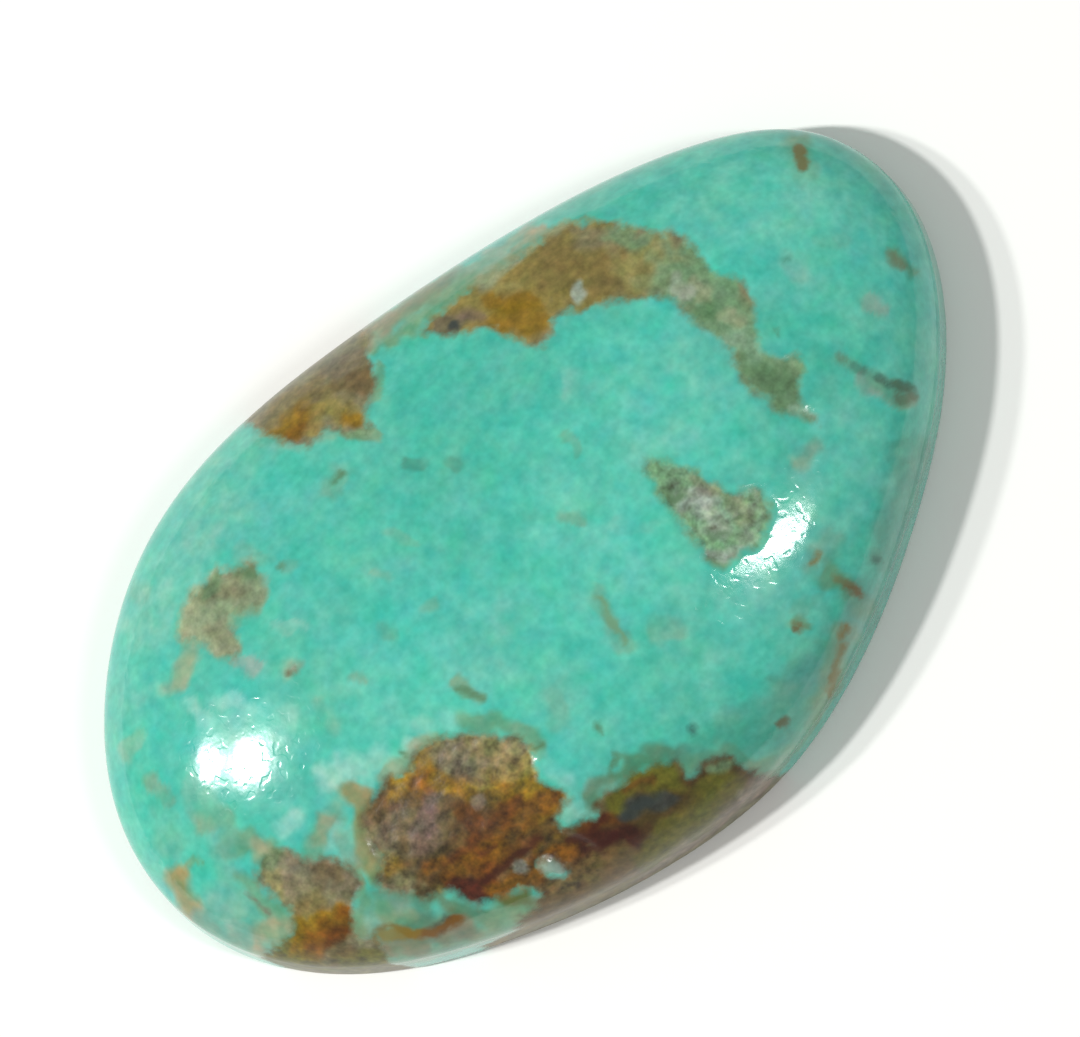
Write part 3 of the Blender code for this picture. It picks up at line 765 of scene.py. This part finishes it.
def hollows(spots):
    """How far the matrix lies in: each patch's floor and its own roughness, behind a ledge, and a
    shallow pit at each fleck."""
    grain = sum(share * noise(spots, size, PATTERN_SHIFT) for size, share in GRAIN_SIZES)
    total = FLECK_DEPTH * smooth_step(fleck_edge / FLECK_LEDGE + 0.5)
    for name, (outline, floor, rough, crumb) in PATCHES.items():
        total = total + smooth_step(depths[name] / LEDGE + 0.5) * (floor + ROUGH_GAIN * rough * grain)
    return total


step_down = np.gradient(smooth_rings, axis=0)
step_round = np.roll(smooth_rings, -1, axis=1) - np.roll(smooth_rings, 1, axis=1)
outward = np.cross(step_down, step_round)
outward /= np.linalg.norm(outward, axis=2, keepdims=True)
share_out = reach / reach[: DOME_RINGS + WALL_RINGS].max(0)
keep = 1 - (1 - RIM_SHARE) * smooth_step((share_out - RIM_FROM) / (1 - RIM_FROM))
swell = SWELL * (1 + waves(places, SWELL_WAVES)) / 2
relief = (swell[:-2] + keep.ravel() * hollows(places)[:-2]).reshape(keep.shape)
relief[BACK_FROM - 1 :] = 0
rings = smooth_rings - relief[..., None] * outward
print(f"the deepest hollow is {relief.max():.2f} mm")

# %% [markdown]
# ## The mesh
# The rings become one closed mesh: a fan of triangles at the crown, bands of four-sided faces down to
# the middle of the back, and a fan to close it there. The distances and the colour go along as
# attributes on its points.

# %% Put the stone together
def band_faces(ring_count):
    """The faces between each ring and the next: point i, the same point one ring down, and their
    neighbours round the ring."""
    ring, point = np.meshgrid(np.arange(ring_count - 1), np.arange(AROUND), indexing="ij")
    here, beside = ring * AROUND + point, ring * AROUND + (point + 1) % AROUND
    return np.stack([here, here + AROUND, beside + AROUND, beside], axis=2).reshape(-1, 4)


def fan_faces(ring, tip, upward):
    """Triangles from one ring to a tip, wound so that they face up or down."""
    here = ring * AROUND + np.arange(AROUND)
    beside = ring * AROUND + (np.arange(AROUND) + 1) % AROUND
    pair = (here, beside) if upward else (beside, here)
    return np.stack([np.full(AROUND, tip), *pair], axis=1)


def stone_mesh():
    """The closed mesh in metres, with its crown and back middle as the last two points, set on the
    solid's own box."""
    count = len(rings)
    crown, under = count * AROUND, count * AROUND + 1
    tips = np.array([[*hub, rings[0, :, 2].mean()], [*hub, 0.0]])
    points = np.vstack([rings.reshape(-1, 3), tips]) * MM
    middle = (points.max(0) + points.min(0))[:2] / 2
    points[:, :2] += (low + high)[:2] / 2 - middle
    faces = band_faces(count).tolist()
    faces += fan_faces(0, crown, True).tolist() + fan_faces(count - 1, under, False).tolist()
    mesh = bpy.data.meshes.new("polished_nugget")
    mesh.from_pydata(points.tolist(), [], faces)
    mesh.shade_smooth()
    return mesh


def store(mesh, name, values):
    """Keeps one number, or one colour, for each point of the mesh under this name."""
    if values.ndim == 1:
        mesh.attributes.new(name, "FLOAT", "POINT").data.foreach_set("value", values)
    else:
        rgba = np.hstack([values, np.ones((len(values), 1))])
        mesh.attributes.new(name, "FLOAT_COLOR", "POINT").data.foreach_set("color", rgba.ravel())


mesh = stone_mesh()
is_back = np.zeros(len(places))
is_back[(BACK_FROM - 1) * AROUND : -2] = 1
is_back[-1] = 1
FIELDS = {
    "patch_edge": patch_edge, "fleck_edge": fleck_edge, "fleck_cover": fleck_cover, "crumb": crumb,
    "ground_back": is_back, "body_colour": body_colour, "rock_colour": rock_colour,
    "fleck_colour": fleck_colour,
}
for name, values in FIELDS.items():
    store(mesh, name, values)
stone = bpy.data.objects.new("polished_nugget", mesh)
bpy.context.collection.objects.link(stone)
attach(stone, "root")
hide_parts(NODE)
print(f"{len(mesh.vertices)} points and {len(mesh.polygons)} faces")

# %% [markdown]
# ## Polished turquoise with limonite matrix
# Turquoise is an opaque, waxy blue-green phosphate with a refractive index near 1.61. Polished, it has
# a thin bright reflection over a body colour clouded at every scale, from slow patches of a few
# millimetres to pale grains of a tenth. Limonite takes less polish, so it reflects softly and shows
# its grain. One material does both, mixed by the stored distances, because in the real stone the one
# grades into the other.

# %% A helper for nodes
def add_node(tree, kind, inputs=(), **settings):
    """Adds a node: settings are its own properties, and inputs gives each socket, by name or number,
    a value or the socket that feeds it."""
    node = tree.nodes.new(kind)
    for name, value in settings.items():
        setattr(node, name, value)
    for socket, value in dict(inputs).items():
        if isinstance(value, bpy.types.NodeSocket):
            tree.links.new(value, node.inputs[socket])
        else:
            node.inputs[socket].default_value = value
    return node


def rgba(text):
    """A hex colour as the linear red, green, blue and alpha that sockets take."""
    return (*linear(text), 1.0)

# %% [markdown]
# ### Patterns
# Each pattern's scale is one over its size in millimetres, because the coordinates are turned to
# millimetres first. Clouds are 2.4 mm, mottles 0.8 mm, and the grain 0.32 mm: real grain is finer
# still, and is drawn as coarse as it needs to show. Each is a name, a size, a detail and a roughness.
# A noise pattern runs from 0 to 1, but most of it lies between 0.3 and 0.7.

# %% The stone's patterns
material = bpy.data.materials.new("polished_turquoise_with_limonite")
material.use_nodes = True
tree = material.node_tree
tree.nodes.clear()

place = add_node(tree, "ShaderNodeTexCoord").outputs["Object"]
in_mm = add_node(
    tree, "ShaderNodeVectorMath", {0: place, "Scale": 1 / MM}, operation="SCALE"
).outputs[0]
PATTERNS = (
    ("clouds", 2.4, 3.0, 0.5), ("mottles", 0.8, 2.0, 0.5), ("grain", 0.32, 1.5, 0.5),
    ("crystals", 0.42, 2.0, 0.6), ("ragged", 0.5, 3.0, 0.55), ("polish", 0.5, 2.0, 0.5),
    ("pits", 0.3, 0.0, 0.5),
)
patterns = {
    name: add_node(
        tree, "ShaderNodeTexNoise",
        {"Vector": in_mm, "Scale": 1 / size, "Detail": detail, "Roughness": rough},
    )
    for name, size, detail, rough in PATTERNS
}
MIDDLE, MOSTLY_ABOVE, MOSTLY_BELOW = 0.5, 0.3, 0.7
stored = {name: add_node(tree, "ShaderNodeAttribute", attribute_name=name) for name in FIELDS}
print(f"{len(patterns)} patterns and {len(stored)} stored fields")

# %% [markdown]
# ### Where the matrix lies
# The stored distance gives each edge. A ragged pattern moves it in and out by about an eighth of a
# millimetre, and it fades over about half a millimetre, because the two minerals grow into each other.
# The flecks get about half as much of both, or they would break up.

# %% Masks of patches and flecks
EDGES = (("patch_edge", 0.13, 0.24), ("fleck_edge", 0.07, 0.13))
masks = {}
for name, wander, soft in EDGES:
    moved = add_node(
        tree, "ShaderNodeMapRange",
        {"Value": patterns["ragged"].outputs["Fac"], "From Min": MOSTLY_ABOVE,
         "From Max": MOSTLY_BELOW, "To Min": -wander, "To Max": wander},
        clamp=False,
    ).outputs[0]
    edge = add_node(
        tree, "ShaderNodeMath", {0: stored[name].outputs["Fac"], 1: moved}, operation="ADD"
    ).outputs[0]
    masks[name] = add_node(
        tree, "ShaderNodeMapRange", {"Value": edge, "From Min": -soft, "From Max": soft},
        interpolation_type="SMOOTHSTEP",
    ).outputs[0]
rocky = add_node(
    tree, "ShaderNodeMath", {0: masks["patch_edge"], 1: masks["fleck_edge"]}, operation="MAXIMUM"
).outputs[0]
print(f"{len(masks)} masks, from {' and '.join(masks)}")

# %% [markdown]
# ### The turquoise and the limonite
# Over the painted colours lie the patterns. A pale spot in turquoise is mostly less pure rather than
# brighter, so there each pattern swings the red much more than the green and blue. Limonite is made up
# of crystals that are darker, paler, redder or greener, so its swings are wide in all three. A swing of
# one makes a colour from half to one and a half times as strong, and on the matrix it is scaled by
# the patch's own crumb: the crust is all grains, the arch nearly clear.

# %% Body and matrix colour
SWINGS = (
    ("body_colour", "clouds", "Color", (1.7, 0.2, 0.2)),
    ("body_colour", "mottles", "Color", (1.3, 0.2, 0.2)),
    ("body_colour", "mottles", "Fac", (0.45, 0.35, 0.35)),
    ("body_colour", "grain", "Fac", (0.42, 0.36, 0.36)),
    ("rock_colour", "crystals", "Fac", (2.2, 2.6, 2.8)),
    ("rock_colour", "grain", "Fac", (0.7, 0.8, 0.9)),
    ("rock_colour", "crystals", "Color", (0.7, 0.45, 0.3)),
    ("rock_colour", "mottles", "Color", (0.6, 0.4, 0.3)),
)
LEAST_CRUMB = 0.28
coarseness = add_node(
    tree, "ShaderNodeMapRange", {"Value": stored["crumb"].outputs["Fac"], "To Min": LEAST_CRUMB}
).outputs[0]
strengths = {"body_colour": 1.0, "rock_colour": coarseness}
swung = {name: stored[name].outputs["Color"] for name in strengths}
for name, pattern, output, swing in SWINGS:
    centred = add_node(
        tree, "ShaderNodeVectorMath", {0: patterns[pattern].outputs[output], 1: (MIDDLE,) * 3},
        operation="SUBTRACT",
    ).outputs[0]
    scaled = add_node(
        tree, "ShaderNodeVectorMath", {0: centred, "Scale": strengths[name]}, operation="SCALE"
    ).outputs[0]
    gain = add_node(
        tree, "ShaderNodeVectorMath", {0: scaled, 1: swing, 2: (1, 1, 1)}, operation="MULTIPLY_ADD"
    ).outputs[0]
    swung[name] = add_node(
        tree, "ShaderNodeVectorMath", {0: swung[name], 1: gain}, operation="MULTIPLY"
    ).outputs[0]
print(f"{len(SWINGS)} swings of colour")

# %% [markdown]
# ### One over the other
# The matrix covers the turquoise where its mask says, and the flecks lie over both, each as strongly as
# its stroke was drawn.

# %% Matrix and flecks over the turquoise
fleck_mask = add_node(
    tree, "ShaderNodeMath",
    {0: masks["fleck_edge"], 1: stored["fleck_cover"].outputs["Fac"]}, operation="MULTIPLY",
).outputs[0]
covers = (
    (masks["patch_edge"], swung["rock_colour"]),
    (fleck_mask, stored["fleck_colour"].outputs["Color"]),
)
surface = swung["body_colour"]
for mask, colour in covers:
    surface = add_node(
        tree, "ShaderNodeMix", {0: mask, 6: surface, 7: colour}, data_type="RGBA"
    ).outputs[2]
print(f"{len(covers)} covers over the turquoise")

# %% [markdown]
# ### The ground back
# The back was ground flat and never polished. It keeps a chalky bloom, paler than the polished face,
# so its colours are mixed toward a dusty blue-green, and it scatters light instead of reflecting it.

# %% The dusty back
DUSTY_SHARE = 0.45
DUST_DARK, DUST_PALE = "#8FC4B4", "#A9D0C4"
DUST_FROM, DUST_FULL = 0.35, 0.7
on_back = stored["ground_back"].outputs["Fac"]
dust = add_node(
    tree, "ShaderNodeMapRange",
    {"Value": patterns["mottles"].outputs["Fac"], "From Min": DUST_FROM, "From Max": DUST_FULL},
).outputs[0]
dusty = add_node(
    tree, "ShaderNodeMix", {0: dust, 6: rgba(DUST_DARK), 7: rgba(DUST_PALE)}, data_type="RGBA"
).outputs[2]
dust_share = add_node(
    tree, "ShaderNodeMath", {0: on_back, 1: DUSTY_SHARE}, operation="MULTIPLY"
).outputs[0]
surface = add_node(
    tree, "ShaderNodeMix", {0: dust_share, 6: surface, 7: dusty}, data_type="RGBA"
).outputs[2]
print(f"the back is {DUSTY_SHARE:.0%} dust")

# %% [markdown]
# ### Gloss
# Polished turquoise is almost a mirror, with a roughness near a tenth. The matrix is from satin to dull,
# by its crumb, and its pores swallow part of the reflection, so its specular level is lower too.

# %% Roughness and reflection
POLISHED, SATIN, DULL, GROUND = 0.105, 0.24, 0.4, 0.62
GLASSY, POROUS = 0.5, 0.32
rock_gloss = add_node(
    tree, "ShaderNodeMapRange",
    {"Value": stored["crumb"].outputs["Fac"], "To Min": SATIN, "To Max": DULL},
).outputs[0]
gloss = add_node(
    tree, "ShaderNodeMapRange", {"Value": rocky, "To Min": POLISHED, "To Max": rock_gloss}
).outputs[0]
rough = add_node(tree, "ShaderNodeMix", {0: on_back, 2: gloss, 3: GROUND}).outputs[0]
reflection = add_node(tree, "ShaderNodeMix", {0: rocky, 2: GLASSY, 3: POROUS}).outputs[0]
print(f"roughness from {POLISHED} polished to {GROUND} on the back")

# %% [markdown]
# ### Polish marks, pits and grit
# A hand-held stone is never dead flat to the wheel: the polish is faintly wavy, with pits that catch the
# lamps as small glints, and the grains of the matrix stand up as grit. None is more than a fiftieth of a
# millimetre high, too low for the mesh, so they are bump.

# %% Bump and the finished shader
POLISH_HEIGHT = 0.0045 * MM
PIT_FROM, PIT_FULL = 0.6, 0.75
PIT_HEIGHT = 0.0018 * MM
GRIT_HEIGHT = 0.02 * MM
pit_depth = add_node(
    tree, "ShaderNodeMapRange",
    {"Value": patterns["pits"].outputs["Fac"], "From Min": PIT_FROM, "From Max": PIT_FULL,
     "To Min": 1.0, "To Max": 0.0},
    interpolation_type="SMOOTHSTEP",
).outputs[0]
grit_share = add_node(
    tree, "ShaderNodeMath",
    {0: patterns["crystals"].outputs["Fac"], 1: stored["crumb"].outputs["Fac"]}, operation="MULTIPLY",
).outputs[0]
bumps = (
    (patterns["polish"].outputs["Fac"], POLISH_HEIGHT), (pit_depth, PIT_HEIGHT),
    (grit_share, GRIT_HEIGHT),
)
below = {}
for pattern, size in bumps:
    bump = add_node(
        tree, "ShaderNodeBump", {"Height": pattern, "Distance": size, "Strength": 1.0, **below}
    )
    below = {"Normal": bump.outputs[0]}
TURQUOISE_IOR = 1.61
shader = add_node(
    tree, "ShaderNodeBsdfPrincipled",
    {"Base Color": surface, "Roughness": rough, "IOR": TURQUOISE_IOR,
     "Specular IOR Level": reflection, **below},
)
add_node(tree, "ShaderNodeOutputMaterial", {"Surface": shader.outputs[0]})
mesh.materials.append(material)
print(f"the stone's material has {len(tree.nodes)} nodes")

# %% [markdown]
# ## The table, the lamps and the camera
# The stone lies on a plain white card under two lamps. The brighter one is a pair of round bulbs on the
# left, close together, whose twin reflection shows on the left of the dome, and whose shadow falls to
# the right. The other is a tall, narrow lamp opposite. A pale room fills in the rest.

# %% White floor
FLOOR_SIZE = 3.0
CARD_WHITE = "#F4F4F0"
CARD_ROUGHNESS = 0.9
floor_mesh = bpy.data.meshes.new("white_floor")
corner = FLOOR_SIZE / 2
floor_mesh.from_pydata(
    [(-corner, -corner, 0), (corner, -corner, 0), (corner, corner, 0), (-corner, corner, 0)],
    [], [(0, 1, 2, 3)],
)
floor = bpy.data.objects.new("white_floor", floor_mesh)
bpy.context.collection.objects.link(floor)
card = bpy.data.materials.new("matt_white_card")
card.use_nodes = True
card_shader = card.node_tree.nodes["Principled BSDF"]
card_shader.inputs["Base Color"].default_value = rgba(CARD_WHITE)
card_shader.inputs["Roughness"].default_value = CARD_ROUGHNESS
floor_mesh.materials.append(card)
print(f"the floor is {FLOOR_SIZE} m across")

# %% Lamps
LAMP_DISTANCE = 0.5
LAMPS = (
    ("left_lamp_low", 148.2, 46.4, 3.0, 3.0, 480),
    ("left_lamp_high", 152.0, 54.8, 3.8, 3.8, 490),
    ("right_lamp", -54.4, 59.6, 3.6, 18, 38),
)
ROOM_LIGHT = 0.33


def lamp(name, heading, rise, across, tall, radiance):
    """A round or oval lamp facing the stone: its heading and rise in degrees as seen from the stone,
    how wide and how tall it looks from there in degrees, and how bright its face is. Its power is
    that brightness times pi times the area of the oval."""
    turn, tilt = math.radians(heading), math.radians(rise)
    out = Vector((math.cos(turn) * math.cos(tilt), math.sin(turn) * math.cos(tilt), math.sin(tilt)))
    data = bpy.data.lights.new(name, "AREA")
    data.shape = "ELLIPSE"
    data.size, data.size_y = (
        2 * LAMP_DISTANCE * math.tan(math.radians(angle / 2)) for angle in (across, tall)
    )
    area = math.pi * data.size * data.size_y / 4
    data.energy = radiance * math.pi * area
    light = bpy.data.objects.new(name, data)
    light.location = out * LAMP_DISTANCE
    light.rotation_euler = out.to_track_quat("Z", "Y").to_euler()
    bpy.context.collection.objects.link(light)


for numbers in LAMPS:
    lamp(*numbers)
print(f"{len(LAMPS)} lamps, {LAMP_DISTANCE} m away")

room = bpy.data.worlds.new("pale_room")
room.use_nodes = True
sky = room.node_tree.nodes["Background"]
sky.inputs["Color"].default_value = (1, 1, 1, 1)
sky.inputs["Strength"].default_value = ROOM_LIGHT
bpy.context.scene.world = room
bpy.context.scene.view_settings.view_transform = "Standard"

# %% [markdown]
# ## The camera
# The picture was taken from almost straight above: the camera leans ten degrees from the vertical,
# toward the stone's lower long side, and the stone's length runs up to the right. The lens is long, so
# the far side is not drawn smaller.

# %% Camera
IMAGE_WIDTH = 1080
PIXELS_PER_MM = 27.0
CAMERA_DISTANCE = 0.3
CAMERA_CLIP = 0.01
CAMERA_LEAN = math.radians(10)
STONE_TURN = math.radians(42.5)
AIM = Vector((0.80, 1.38, 1.9)) * MM
SENSOR = 36.0

camera_data = bpy.data.cameras.new("copy_stand")
camera_data.sensor_fit = "HORIZONTAL"
camera_data.sensor_width = SENSOR
camera_data.lens = SENSOR * CAMERA_DISTANCE / (IMAGE_WIDTH / PIXELS_PER_MM * MM)
camera_data.clip_start = CAMERA_CLIP
camera = bpy.data.objects.new("copy_stand", camera_data)
turned = Matrix.Rotation(CAMERA_LEAN, 4, "X") @ Matrix.Rotation(-STONE_TURN, 4, "Z")
camera.matrix_world = (
    Matrix.Translation(AIM) @ turned @ Matrix.Translation((0, 0, CAMERA_DISTANCE))
)
bpy.context.collection.objects.link(camera)
bpy.context.scene.camera = camera
print(f"the lens is {camera_data.lens:.0f} mm")
